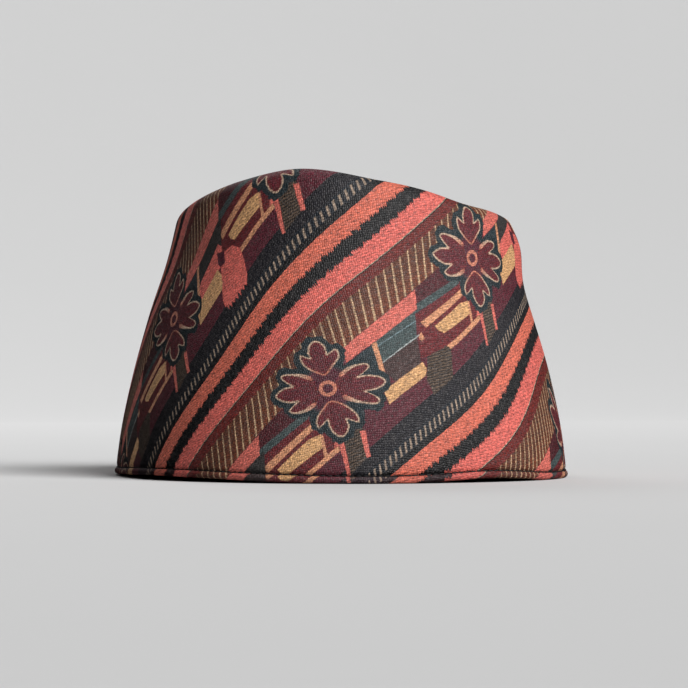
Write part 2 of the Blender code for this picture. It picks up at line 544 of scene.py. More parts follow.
@dataclass(frozen=True)
class Signal:
    """A number that changes over the surface. Arithmetic on it adds the nodes that work it out."""

    graph: "Graph"
    socket: Socket

    def then(self, operation: str, *others: Value) -> "Signal":
        """One step from this number, by the name of the Math node's operation."""
        return self.graph.maths(operation, self, *others)

    def faded(self, fade: Fade) -> "Signal":
        """How far this number has come through a fade, kept from 0 to 1."""
        node = self.graph.add("ShaderNodeMapRange", self, fade.start, fade.full, clamp=True)
        return Signal(self.graph, node.outputs["Result"])

    def __add__(self, other: Value) -> "Signal":
        """The sum."""
        return self.then("ADD", other)

    def __sub__(self, other: Value) -> "Signal":
        """The difference."""
        return self.then("SUBTRACT", other)

    def __rsub__(self, other: Value) -> "Signal":
        """The difference, from a plain number."""
        return self.graph.maths("SUBTRACT", other, self)

    def __mul__(self, other: Value) -> "Signal":
        """The product."""
        return self.then("MULTIPLY", other)

    def __truediv__(self, other: Value) -> "Signal":
        """The quotient."""
        return self.then("DIVIDE", other)


MIX_BELOW, MIX_ABOVE, MIX_RESULT = 6, 7, 2  # the Mix node's sockets for colours


@dataclass(frozen=True)
class Graph:
    """Adds nodes to one tree and joins them."""

    tree: bpy.types.NodeTree

    def feed(self, socket: Socket, value: Value) -> None:
        """Links a socket, or sets its constant."""
        if isinstance(value, Signal):
            value = value.socket
        if isinstance(value, Dye):
            value = value.linear()
        if isinstance(value, bpy.types.NodeSocket):
            self.tree.links.new(value, socket)
        else:
            socket.default_value = value

    def add(self, kind: str, *values: Value, **settings: object) -> bpy.types.Node:
        """A new node with its settings, whose first sockets are fed with the values."""
        node = self.tree.nodes.new(kind)
        for name, setting in settings.items():
            setattr(node, name, setting)
        for socket, value in zip(node.inputs, values):
            self.feed(socket, value)
        return node

    def maths(self, operation: str, *values: Value) -> Signal:
        """One arithmetic step on numbers."""
        return Signal(self, self.add("ShaderNodeMath", *values, operation=operation).outputs[0])

    def vector(self, operation: str, *values: Value) -> Socket:
        """One arithmetic step on vectors."""
        return self.add("ShaderNodeVectorMath", *values, operation=operation).outputs["Vector"]

    def dot(self, vector: Value, other: Value) -> Signal:
        """The dot product."""
        node = self.add("ShaderNodeVectorMath", vector, other, operation="DOT_PRODUCT")
        return Signal(self, node.outputs["Value"])

    def length(self, vector: Value) -> Signal:
        """The vector's length."""
        return Signal(self, self.add("ShaderNodeVectorMath", vector, operation="LENGTH").outputs["Value"])

    def parts(self, vector: Value) -> tuple[Signal, Signal]:
        """The X and Y parts of a vector."""
        x, y, _ = self.add("ShaderNodeSeparateXYZ", vector).outputs
        return Signal(self, x), Signal(self, y)

    def joined(self, x: Value, y: Value, z: Value = 0.0) -> Socket:
        """A vector from its parts."""
        return self.add("ShaderNodeCombineXYZ", x, y, z).outputs[0]

    def mixed(self, share: Value, below: Value, above: Value, blend: str = "MIX") -> Socket:
        """One colour over another."""
        node = self.add("ShaderNodeMix", share, data_type="RGBA", blend_type=blend)
        self.feed(node.inputs[MIX_BELOW], below)
        self.feed(node.inputs[MIX_ABOVE], above)
        return node.outputs[MIX_RESULT]

    def darkened(self, colour: Value, share: Value) -> Socket:
        """A colour times a number."""
        return self.mixed(1.0, colour, self.joined(share, share, share), "MULTIPLY")

    def noise(self, place: Value, scale: float, detail: float = 1.0) -> Signal:
        """Soft noise about one half."""
        node = self.add("ShaderNodeTexNoise", place, noise_dimensions="3D")
        node.inputs["Scale"].default_value = scale
        node.inputs["Detail"].default_value = detail
        return Signal(self, node.outputs["Fac"])

    def row_chance(self, row: Value) -> Signal:
        """A value from 0 to 1 that differs from row to row."""
        node = self.add("ShaderNodeTexWhiteNoise", noise_dimensions="1D")
        self.feed(node.inputs["W"], row)
        return Signal(self, node.outputs["Value"])

    def cell_chance(self, cell: Value) -> Signal:
        """A value from 0 to 1 that differs from cell to cell."""
        return Signal(self, self.add("ShaderNodeTexWhiteNoise", cell, noise_dimensions="2D").outputs["Value"])

    def curve(self, at: Value, heights: Array) -> Signal:
        """A curve through evenly spaced heights from 0 to 1, straight between them."""
        node = self.add("ShaderNodeFloatCurve", 1.0, at)
        curve = node.mapping.curves[0]
        last = len(heights) - 1
        curve.points[0].location = (0.0, float(heights[0]))
        curve.points[1].location = (1.0, float(heights[-1]))
        for i in range(1, last):
            curve.points.new(i / last, float(heights[i]))
        for point in curve.points:
            point.handle_type = "VECTOR"
        node.mapping.update()
        return Signal(self, node.outputs[0])

    def bump(self, height: Value, distance: float) -> Socket:
        """A normal from a height, where 1 stands this many mm proud."""
        node = self.add("ShaderNodeBump")
        node.inputs["Distance"].default_value = distance * MM
        self.feed(node.inputs["Height"], height)
        return node.outputs[0]

    def group(self, tree: bpy.types.NodeTree, **values: Value) -> bpy.types.NodeOutputs:
        """A group placed in this tree, its sockets fed by name."""
        node = self.add("ShaderNodeGroup", node_tree=tree)
        for name, value in values.items():
            self.feed(node.inputs[name], value)
        return node.outputs


VECTOR, FLOAT, COLOUR = "NodeSocketVector", "NodeSocketFloat", "NodeSocketColor"


def new_group(name: str, inputs: dict[str, str], outputs: dict[str, str]) -> tuple:
    """Makes an empty shader node group.

    Args:
        name: the group's name.
        inputs: socket type of each input, by name.
        outputs: socket type of each output, by name.

    Returns:
        The tree, its graph, the input sockets to read and the output sockets to feed.
    """
    tree = bpy.data.node_groups.new(name, "ShaderNodeTree")
    for direction, sockets in (("INPUT", inputs), ("OUTPUT", outputs)):
        for label, kind in sockets.items():
            tree.interface.new_socket(label, in_out=direction, socket_type=kind)
    graph = Graph(tree)
    return tree, graph, graph.add("NodeGroupInput").outputs, graph.add("NodeGroupOutput").inputs


def new_material(name: str) -> tuple:
    """Makes a material.

    Args:
        name: the material's name.

    Returns:
        The material, its graph and the sockets of its Principled shader.
    """
    material = bpy.data.materials.new(name)
    material.use_nodes = True
    shader = material.node_tree.nodes["Principled BSDF"]
    return material, Graph(material.node_tree), shader.inputs


# The cloth's pattern, in mm from a flower's middle: slanting bands, bars, blocks and the flower


@dataclass(frozen=True)
class Repeat:
    """The repeat's two steps on the flat cloth, and the slant of its bands."""

    step_right: float = 126.6
    step_slant_right: float = 59.0
    step_slant_up: float = 45.0

    def along(self) -> tuple[float, float, float]:
        """Unit vector along the bands."""
        size = math.hypot(self.step_slant_right, self.step_slant_up)
        return (self.step_slant_right / size, self.step_slant_up / size, 0.0)

    def across(self) -> tuple[float, float, float]:
        """Unit vector across the bands."""
        right, up, _ = self.along()
        return (-up, right, 0.0)

    def band_period(self) -> float:
        """How far apart the bands repeat across the slant."""
        return self.step_right * -self.across()[0]

    def window(self) -> bpy.types.NodeTree:
        """Group that brings a place into the repeat's brick round a centre.

        The row is the rounded rise over the slanting step's, and the brick in it the rounded way along. The
        result is measured from its flower, with 1 as the third part, and Odd is 1 for every second row.
        """
        tree, g, source, target = new_group(
            "Repeat window", {"Place": VECTOR, "Centre": VECTOR}, {"Local": VECTOR, "Odd": FLOAT}
        )
        x, y = g.parts(g.vector("SUBTRACT", source["Place"], source["Centre"]))
        row = (y / self.step_slant_up).then("ROUND")
        slid = x - row * self.step_slant_right
        near_x = slid - (slid / self.step_right).then("ROUND") * self.step_right
        near_y = y - row * self.step_slant_up
        centre_x, centre_y = g.parts(source["Centre"])
        g.feed(target["Local"], g.joined(near_x + centre_x, near_y + centre_y, 1.0))
        g.feed(target["Odd"], (row * 0.5 + 0.25).then("FRACT").then("GREATER_THAN", 0.5))
        return tree


REPEAT = Repeat()


class Cells(Enum):
    """Which flowers of the repeat a patch goes with: every one, or every second one."""

    EVERY = 0
    EVEN = 1
    ODD = 2


class Band(NamedTuple):
    """A slanting band of one dye, from this distance across the slant up to the next band's."""

    start: float
    dye: Dye


class Patch(NamedTuple):
    """A straight-sided block of one dye, its corners anticlockwise, and how deep its lower fringe is."""

    dye: Dye
    corners: tuple
    cells: Cells = Cells.EVERY
    fringe: float = 0.0


class Leaf(NamedTuple):
    """One leaf of the flower: a point inside it and its outline, anticlockwise."""

    middle: tuple
    outline: tuple


BANDS = (
    Band(-37.4, Dye.BLACK),
    Band(-35.4, Dye.NAVY),
    Band(-31.4, Dye.SLATE),
    Band(-25.7, Dye.PLUM),
    Band(6.4, Dye.BROWN),
    Band(17.6, Dye.RUST),
    # The thin black band and the thin pale one after it are a painted shadow and a painted highlight along the
    # pink band's edge.
    Band(21.15, Dye.BLACK),
    Band(21.6, Dye.TICK),
    Band(21.95, Dye.PINK),
    Band(28.2, Dye.BLACK),
    Band(33.1, Dye.ORANGE),
)


YARN_EDGE = Fade(-0.16, 0.16)  # in mm, where one yarn gives way to the next


def inside(depth: Signal) -> Signal:
    """A mask from a depth in mm: 1 inside, with a soft edge one yarn wide."""
    return depth.faded(YARN_EDGE)


@dataclass(frozen=True)
class Stairs:
    """Uneven stairs along an edge: a ramp across each step, each step of its own height."""

    pitch: float
    height: float
    least: float = 0.4
    spread: float = 1.1

    def rise(self, g: Graph, x: Signal) -> Signal:
        """How far the edge is moved at each way along it, about nought."""
        steps = x / self.pitch
        own = g.row_chance(steps.then("FLOOR")) * self.spread + self.least
        return (steps.then("FRACT") - 0.5) * own * self.height


STAIRS_TO_STEP = 21  # of the bands' edges, to the slanting step


@dataclass(frozen=True)
class ToothedBands:
    """The slanting bands, whose edges by the wide black band are stepped and bristly."""

    black_middle: float = 30.6
    reach: float = 5.2
    whole: Stairs = Stairs(REPEAT.step_slant_right / STAIRS_TO_STEP, 0.85)
    half: Stairs = Stairs(REPEAT.step_slant_right / STAIRS_TO_STEP / 2, 0.4)
    bristles: Stairs = Stairs(0.62, 0.8)
    wander: float = 2.4
    wander_scale: float = 0.3

    def lay(self, g: Graph, place: Socket) -> tuple[Socket, Signal]:
        """Builds the bands.

        Args:
            g: the graph to build in.
            place: place on the cloth.

        Returns:
            The bands' colour and the distance across the slant, within one repeat.
        """
        period = REPEAT.band_period()
        start = BANDS[0].start
        across = (g.dot(place, REPEAT.across()) - start).then("FLOORED_MODULO", period)
        x, _ = g.parts(place)
        moved = x + (g.noise(place, self.wander_scale) - 0.5) * self.wander
        tooth = self.whole.rise(g, moved) + self.half.rise(g, moved) + self.bristles.rise(g, x)
        from_black = (across - (self.black_middle - start)).then("ABSOLUTE")
        toothed = across + tooth * from_black.then("LESS_THAN", self.reach)
        ramp = g.add("ShaderNodeValToRGB", toothed / period)
        ramp.color_ramp.interpolation = "CONSTANT"
        elements = ramp.color_ramp.elements
        elements.remove(elements[1])
        elements[0].position = 0.0
        elements[0].color = BANDS[0].dye.linear()
        for band in BANDS[1:]:
            elements.new((band.start - start) / period).color = band.dye.linear()
        return ramp.outputs[0], across + start


@dataclass(frozen=True)
class Rungs:
    """A row of short bars in a band: where they start and end across the slant, and how they stand."""

    low: float
    high: float
    number: int  # to the slanting step
    first: float
    lean: float
    foot: float  # half width at the lower end
    tip: float  # half width at the upper end

    def mask(self, g: Graph, place: Socket, across: Signal) -> Signal:
        """A mask of the bars, which run thinner towards their upper ends."""
        pitch = REPEAT.step_slant_right / self.number
        x, _ = g.parts(place)
        beat = ((across * self.lean + x - self.first) / pitch).then("FRACT")
        from_middle = (beat - 0.5).then("ABSOLUTE") * pitch
        half = across.faded(Fade(self.high, self.low)) * (self.foot - self.tip) + self.tip
        ends = (across - self.low).then("MINIMUM", self.high - across)
        return inside((half - from_middle).then("MINIMUM", ends))


LADDER = Rungs(6.4, 17.9, 22, 4.48, 0.0, 0.33, 0.18)
TICKS = Rungs(-34.9, -31.9, 32, 0.0, 0.25, 0.30, 0.26)

LOWER_PATCHES = (
    Patch(Dye.SHADE, ((-27, -17.6), (-10, -8), (-10, 0.6), (-27, -12.4))),
    Patch(Dye.TEAL, ((-31, -23.3), (-7.5, -9.3), (-7.5, -6.5), (-31, -20))),
    Patch(
        Dye.MAROON,
        ((-26.7, -37.5), (-15.9, -34), (3.3, -20.8), (3, -18.2), (-6.3, -8.8), (-26.7, -21)),
    ),
    Patch(Dye.PEACH, ((-23.4, -26), (-6.4, -13.7), (-6.5, -11.1), (-25.2, -24))),
    Patch(
        Dye.MUSTARD,
        ((-18.6, -27), (-16.3, -27.8), (-3.1, -20.1), (-3.9, -15.6), (-8, -16.7), (-19.9, -25.4)),
    ),
    Patch(Dye.PEACH, ((-14.5, -33.8), (2.6, -22), (1.8, -20.4), (-15.6, -32.4))),
    Patch(Dye.PEACH, ((-2.9, -24.4), (-1.7, -23.8), (-3.2, -15.8), (-4.1, -16))),
    Patch(Dye.CORAL, ((0.4, -21), (3.4, -20), (2.7, -18), (0.9, -17.8))),
    Patch(Dye.CORAL, ((4.9, -31), (6.1, -30.8), (3.9, -19.3), (2.9, -18.3), (2.3, -20.5))),
    Patch(Dye.OLIVE, ((6.2, -30.5), (12.6, -24.5), (10.2, -15), (4.1, -17), (4, -19.5))),
    Patch(Dye.CORAL, ((11.6, -25.3), (13.1, -25), (11.2, -16.2), (9.3, -16.3))),
)

UPPER_PATCHES = (
    Patch(Dye.DEEP_TEAL, ((9, 8.8), (12, 6), (17.8, 2.6), (17.4, 14.4))),
    Patch(Dye.MOSS, ((17, 12), (18.6, 5), (34.4, 15), (35, 27), (20, 17.4)), Cells.ODD),
    Patch(Dye.TEAL, ((19, 6.8), (31.8, 15.7), (32.4, 25.6), (20, 16.4), (17.8, 14.6)), Cells.EVEN),
    Patch(Dye.GREY, ((19.6, 2.6), (22.5, -0.5), (32.4, 5.6), (31.8, 15.7), (18.9, 6.7)), Cells.EVEN),
    Patch(Dye.MIST, ((18.3, 12.9), (32.3, 21.4), (32.1, 21.7), (18.2, 13.2)), Cells.EVEN),
    Patch(Dye.PALE, ((18.8, 6.4), (33.0, 16.1), (32.8, 16.45), (18.8, 6.75)), Cells.EVEN),
    Patch(Dye.PEACH, ((32.3, 15.5), (33.3, 13.9), (34.6, 15), (33.6, 17.3)), Cells.EVEN),
    Patch(
        Dye.OLIVE,
        ((36.8, -4.8), (45.2, 1.8), (45.2, 11.6), (43.6, 12.6), (35, 8.4), (34.1, 0)),
        Cells.EVEN,
    ),
    Patch(Dye.CORAL, ((7.6, 8.3), (20, 16.4), (33.2, 26), (33.4, 33.2), (7.6, 13.8))),
    Patch(Dye.PINK, ((18.4, 5.4), (21, 1.2), (34.8, 11), (34.8, 16.8), (32.3, 18.2), (20, 8.4)), Cells.ODD),
    Patch(
        Dye.PINK,
        (
            (34.2, -3.5), (36.2, -5.9), (38.4, -5.6), (47.3, 0.6), (48, 3.6),
            (46.8, 9.6), (45.2, 13.8), (40.6, 15.8), (35.4, 14.6), (33.6, 9),
        ),
        Cells.ODD,
        fringe=2.6,
    ),
    Patch(Dye.WINE, ((31.9, 11.2), (33.6, 9.9), (36.2, 11), (35.9, 15), (31.3, 15.3)), Cells.ODD),
    Patch(Dye.MUSTARD, ((19.8, -6), (33.9, 3), (33.8, 7), (31.3, 9.7), (20.4, 1.4), (19, -3)), Cells.ODD),
    Patch(Dye.MUSTARD, ((19.9, -8.3), (33.9, 1.6), (34.3, 4.2), (33, 6.3), (18.3, -3.6))),
    Patch(Dye.PEACH, ((17.8, 2.3), (19.3, 3.1), (18.1, 14.8), (16.5, 14.2))),
)

LEAVES = (
    Leaf(
        (0.0, 7.5),
        (
            (0.2, 5.2), (2, 6.8), (4, 9), (5.6, 10.8), (5.9, 12.8), (5.2, 14), (3.9, 13.4), (2.3, 12.6),
            (2.3, 15), (1.5, 17.2), (-0.4, 18.2), (-2.4, 16.6), (-3.2, 14), (-2.9, 12.3), (-4.6, 13.1),
            (-5.9, 13.9), (-6.1, 12.2), (-5.4, 9.8), (-3, 7.3),
        ),
    ),
    Leaf(
        (-4.0, 0.0),
        (
            (-3, -2.9), (-3.2, 0.5), (-3.9, 4), (-7, 6.4), (-10, 7.5), (-13, 8), (-14.2, 7.2), (-12.6, 5),
            (-11.2, 3.3), (-14, 3), (-16, 2.2), (-17.4, 0.9), (-15.6, -1.1), (-13, -2.3), (-10.4, -2.7),
            (-12, -4), (-13.3, -5.3), (-12, -6.5), (-9, -6.5), (-6, -5.4),
        ),
    ),
    Leaf(
        (1.0, -7.5),
        (
            (0.6, -4.7), (-2, -6.8), (-4, -9), (-4.8, -11.2), (-4.1, -13.1), (-2.6, -12), (-1, -11),
            (-0.5, -13.6), (0.6, -15.7), (2.2, -17.1), (3.6, -17.3), (5.1, -16), (5.7, -14), (5.1, -11.7),
            (7, -12.3), (9, -13.3), (9.2, -12.2), (8.4, -10.3), (6.6, -8.3), (4, -6.1),
        ),
    ),
    Leaf(
        (4.0, 0.0),
        (
            (3.3, 2.3), (3.4, -0.3), (4.8, -3.3), (8, -5.5), (11.5, -6.9), (15, -7.6), (16.6, -6.8),
            (15.8, -5.3), (13.8, -4), (12, -3), (15, -2.6), (17.4, -1.9), (19.1, -0.1), (17.2, 1.6),
            (14, 2.5), (10.6, 2.7), (12.3, 3.8), (14, 5.1), (14.2, 6.5), (12.6, 7), (9.4, 6.7), (6, 4.8),
        ),
    ),
)


def edge_of(start: Sequence[float], end: Sequence[float]) -> tuple[float, float, float]:
    """An edge as a vector whose dot product with (x, y, 1) is the distance to its left, in mm."""
    run = np.array(end, float) - np.array(start, float)
    left = np.array([-run[1], run[0]]) / np.linalg.norm(run)
    return (float(left[0]), float(left[1]), float(-left @ np.array(start, float)))


@dataclass(frozen=True)
class Blocks:
    """Straight-sided blocks laid in a table's order in the repeat's bricks round one centre."""

    centre: tuple
    patches: tuple
    fringe_pitch: float = 1.7
    fringe_fade: Fade = Fade(6.0, 1.0)

    def depth(self, g: Graph, local: Socket, corners: Sequence[Sequence[float]]) -> Signal:
        """How deep a place lies inside a patch: the least of its distances to the sides."""
        sides = [g.dot(local, edge_of(*ends)) for ends in zip(corners, (*corners[1:], corners[0]))]
        depth = sides[0]
        for side in sides[1:]:
            depth = depth.then("MINIMUM", side)
        return depth

    def fringed(self, g: Graph, local: Socket, depth: float) -> Socket:
        """A place moved up by a comb of uneven teeth, which fades out above the patch's lower side."""
        x, y = g.parts(local)
        comb = Stairs(self.fringe_pitch, depth).rise(g, x)
        return g.vector("ADD", local, g.joined(0.0, comb * y.faded(self.fringe_fade)))

    def lay(self, g: Graph, colour: Socket, brick: bpy.types.NodeOutputs, weft: Socket) -> Socket:
        """Lays the blocks over a colour.

        Args:
            g: the graph to build in.
            colour: what lies below.
            brick: the outputs of the repeat's window round this centre.
            weft: 0 to 1 across each row of the weave, which stripes the olive blocks.

        Returns:
            The colour with the blocks.
        """
        local, odd = brick["Local"], Signal(g, brick["Odd"])
        shown = {Cells.ODD: odd, Cells.EVEN: 1.0 - odd}
        for patch in self.patches:
            place = self.fringed(g, local, patch.fringe) if patch.fringe else local
            mask = inside(self.depth(g, place, patch.corners))
            if patch.cells in shown:
                mask = mask * shown[patch.cells]
            striped = patch.dye is Dye.OLIVE
            fill = g.mixed(weft, Dye.DARK_OLIVE, patch.dye) if striped else patch.dye
            colour = g.mixed(mask, colour, fill)
        return colour


def smooth_outline(points: Sequence[Sequence[float]], steps: int = 12, fullness: float = 0.42) -> Array:
    """A closed curve through the points, cubic between each two, with slopes from their neighbours."""
    known = np.array(points, float)
    before, after = np.roll(known, 1, axis=0), np.roll(known, -1, axis=0)
    slope = (after - before) * fullness
    t = np.linspace(0.0, 1.0, steps, endpoint=False)[:, None, None]
    start = (2 * t**3 - 3 * t**2 + 1) * known + (t**3 - 2 * t**2 + t) * slope
    end = (3 * t**2 - 2 * t**3) * after + (t**3 - t**2) * np.roll(slope, -1, axis=0)
    return (start + end).transpose(1, 0, 2).reshape(-1, 2)


@dataclass(frozen=True)
class Flower:
    """The flower: a dark halo, a core, four outlined leaves and a ring, with sizes in mm."""

    halo: float = 2.1
    halo_wander: float = 3.0
    halo_wander_scale: float = 0.35
    core: float = 8.6
    core_fade: Fade = Fade(-0.2, 1.6)
    outline: float = 0.27
    outline_starts: float = 4.0
    side_outline_starts: float = 5.6
    outline_share: float = 0.9
    thick_outline: float = 0.7
    thickens: Fade = Fade(5.6, 7.0)
    thins: Fade = Fade(13.0, 9.0)
    pales: Fade = Fade(6.5, 11.0)
    veins: float = 34.0
    vein_depth: float = 0.6
    vein_swing: float = 0.22
    heart: Fade = Fade(0.5, 2.0)
    hub: tuple = (0.3, 0.1, 1.0)
    ring: float = 2.3
    ring_width: float = 0.62
    curve_points: int = 160
    curve_reach: float = 22.0  # the radius that a curve counts as one
    steepest: float = 3.0  # an outline's slant is never taken to be steeper
    halo_turns: int = 32

    def leaf_depth(self, g: Graph, local: Socket, leaf: Leaf) -> Signal:
        """How deep a place lies inside a leaf, whose outline is read as a radius round its middle."""
        outline = smooth_outline(leaf.outline) - np.array(leaf.middle)
        direction = np.arctan2(outline[:, 1], outline[:, 0])
        radius = np.hypot(outline[:, 0], outline[:, 1])
        order = np.argsort(direction)
        turns = np.linspace(-math.pi, math.pi, self.curve_points)
        radii = np.interp(turns, direction[order], radius[order], period=2 * math.pi)
        return self.round_depth(g, local, leaf.middle, radii)

    def halo_depth(self, g: Graph, local: Socket) -> Signal:
        """How deep a place lies inside the halo.

        The leaves' outlines are widened by the halo's width all round, and the furthest point in each
        direction from the flower's middle is kept.
        """
        points = np.vstack([smooth_outline(leaf.outline) for leaf in LEAVES])
        turn = np.linspace(0.0, 2 * math.pi, self.halo_turns, endpoint=False)
        ring = self.halo * np.stack([np.cos(turn), np.sin(turn)], axis=-1)
        wide = (points[:, None] + ring).reshape(-1, 2)
        direction = np.arctan2(wide[:, 1], wide[:, 0])
        slot = np.round((direction / math.pi + 1) / 2 * (self.curve_points - 1)).astype(int)
        radii = np.full(self.curve_points, self.core)
        np.maximum.at(radii, slot, np.hypot(wide[:, 0], wide[:, 1]))
        radii[0] = radii[-1] = max(radii[0], radii[-1])
        return self.round_depth(g, local, (0.0, 0.0), radii)

    def round_depth(self, g: Graph, local: Socket, middle: Sequence[float], radii: Array) -> Signal:
        """How deep a place lies inside an outline given as radii for even turns from -180 degrees to 180.

        The depth is the radius in the place's direction less its own, times the cosine of the outline's
        slant.
        """
        turns = np.linspace(-math.pi, math.pi, len(radii))
        slant = np.gradient(radii, turns) / radii
        squeeze = 1 / np.sqrt(1 + np.clip(slant, -self.steepest, self.steepest) ** 2)
        away = g.vector("SUBTRACT", local, (*middle, 1.0))
        x, y = g.parts(away)
        turn = y.then("ARCTAN2", x) * (1 / (2 * math.pi)) + 0.5
        reach = g.curve(turn, radii / self.curve_reach) * self.curve_reach
        return (reach - g.length(away)) * g.curve(turn, squeeze)

    def lay(self, g: Graph, colour: Socket, local: Socket) -> Socket:
        """Lays the flower over a colour.

        The upright leaves are outlined thinly all round. The side leaves' outlines are thick along the
        diagonals and end before the ring.
        """
        radius = g.length(g.vector("MULTIPLY", local, (1.0, 1.0, 0.0)))
        core_depth = self.core - radius
        wander = (g.noise(local, self.halo_wander_scale) - 0.5) * self.halo_wander
        around = (self.halo_depth(g, local) + wander).then("MAXIMUM", core_depth)
        colour = g.mixed(inside(around), colour, Dye.HALO)
        colour = g.mixed(core_depth.faded(self.core_fade), colour, Dye.WINE)
        top, left, foot, right = (self.leaf_depth(g, local, leaf) for leaf in LEAVES)
        upright = top.then("MAXIMUM", foot)
        sideways = left.then("MAXIMUM", right)
        depth = upright.then("MAXIMUM", sideways)
        colour = g.mixed(inside(depth), colour, Dye.MAROON)
        x, y = g.parts(local)
        vein = (y.then("ARCTAN2", x) * self.veins).then("SINE") * self.vein_swing + self.vein_depth
        colour = g.mixed(depth.faded(self.heart) * vein, colour, Dye.PLUM)
        yarn = g.mixed(radius.faded(self.pales), Dye.ROSE, Dye.CREAM)
        swell = radius.faded(self.thickens) * radius.faded(self.thins)
        thick = swell * (self.thick_outline - self.outline) + self.outline
        for width, edge, start in (
            (self.outline, upright, self.outline_starts),
            (thick, sideways, self.side_outline_starts),
        ):
            line = inside(width - edge.then("ABSOLUTE"))
            shown = line * radius.faded(Fade(start, start + 1.0))
            colour = g.mixed(shown * self.outline_share, colour, yarn)
        hub_radius = g.length(g.vector("SUBTRACT", local, self.hub))
        colour = g.mixed(inside(self.ring - hub_radius), colour, Dye.WINE)
        from_ring = (hub_radius - self.ring).then("ABSOLUTE")
        return g.mixed(inside(self.ring_width - from_ring), colour, Dye.ROSE)


@dataclass(frozen=True)
class DhakaPattern:
    """The cloth's coloured pattern as a node group, from a place on the cloth in mm to a colour."""

    bands: ToothedBands = ToothedBands()
    lower: Blocks = Blocks((-7.0, -18.0, 0.0), LOWER_PATCHES)
    upper: Blocks = Blocks((27.0, 13.0, 0.0), UPPER_PATCHES)
    flower: Flower = Flower()
    ember_starts: Fade = Fade(6.0, 6.8)
    ember_ends: Fade = Fade(13.0, 7.5)

    def build(self) -> bpy.types.NodeTree:
        """The whole pattern's group."""
        window = REPEAT.window()
        tree, g, source, target = new_group(
            "Dhaka pattern", {"Place": VECTOR, "Row": FLOAT}, {"Colour": COLOUR}
        )
        place = source["Place"]
        colour, across = self.bands.lay(g, place)
        ember = across.faded(self.ember_starts) * across.faded(self.ember_ends)
        colour = g.mixed(ember, colour, Dye.EMBER)
        colour = g.mixed(TICKS.mask(g, place, across), colour, Dye.TICK)
        colour = g.mixed(LADDER.mask(g, place, across), colour, Dye.BEIGE)
        for blocks in (self.lower, self.upper):
            brick = g.group(window, Place=place, Centre=blocks.centre)
            colour = blocks.lay(g, colour, brick, source["Row"])
        brick = g.group(window, Place=place, Centre=(0.0, 0.0, 0.0))
        g.feed(target["Colour"], self.flower.lay(g, colour, brick["Local"]))
        return tree


@dataclass(frozen=True)
class Weave:
    """The plain weave: how far apart its threads lie, in mm, and how uneven they are."""

    warp: float = 0.62
    weft: float = 0.74
    ragged: float = 0.16
    wander: float = 1.1
    wander_scale: float = 0.6
    uneven: float = 0.5
    grain: float = 1.5
    grain_scale: float = 0.95
    grain_stretch: float = 1.5
    rows: float = 0.17
    row_pitch: float = 1.05
    row_slant: float = 0.3
    fleck_rarity: float = 3.0
    first_thread: float = 4000.0  # an even number that keeps every thread's number positive

    def build(self) -> bpy.types.NodeTree:
        """The weave's group: from a place in mm to a ragged place, shades, flecks, rows and a height.

        The threads wander by soft noise, so that their grid is nowhere quite straight. A thread's shade is
        its own chance value with stretched noise added, and a slanting wave for the rows. The height is a
        half sine across each thread, taken from the warp and the weft in turn.
        """
        tree, g, source, target = new_group(
            "Weave",
            {"Place": VECTOR},
            {"Ragged place": VECTOR, "Shade": FLOAT, "Fleck": FLOAT, "Row": FLOAT, "Height": FLOAT},
        )
        place = source["Place"]
        mirrored = g.vector("MULTIPLY", place, (-1.0, 1.0, 1.0))
        wander_x = (g.noise(place, self.wander_scale) - 0.5) * self.wander
        wander_y = (g.noise(mirrored, self.wander_scale) - 0.5) * self.wander
        x, y = g.parts(g.vector("ADD", place, g.joined(wander_x, wander_y)))
        column, row = x / self.warp, y / self.weft
        column_number, row_number = column.then("FLOOR"), row.then("FLOOR")
        shift_x = (g.row_chance(row_number) - 0.5) * self.ragged
        shift_y = (g.row_chance(column_number) - 0.5) * self.ragged
        g.feed(target["Ragged place"], g.vector("ADD", place, g.joined(shift_x, shift_y)))
        own = (g.cell_chance(g.joined(column_number, row_number)) - 0.5) * self.uneven + 1.0
        stretched = g.vector("MULTIPLY", place, (1.0, self.grain_stretch, 1.0))
        grain = (g.noise(stretched, self.grain_scale) - 0.5) * self.grain
        row_wave = ((x * -self.row_slant + y) * (2 * math.pi / self.row_pitch)).then("SINE")
        g.feed(target["Row"], row_wave * 0.5 + 0.5)
        g.feed(target["Shade"], row_wave * self.rows + (own + grain))
        rare = g.cell_chance(g.joined(row_number, column_number)).then("POWER", self.fleck_rarity)
        g.feed(target["Fleck"], rare)
        warp_over = (column_number + (row_number + self.first_thread)).then("MODULO", 2.0)
        bulge_x = (column.then("FRACT") * math.pi).then("SINE")
        bulge_y = (row.then("FRACT") * math.pi).then("SINE")
        height = warp_over * bulge_x + (1.0 - warp_over) * bulge_y + bulge_x * bulge_y
        g.feed(target["Height"], height * 0.5)
        return tree


# Materials


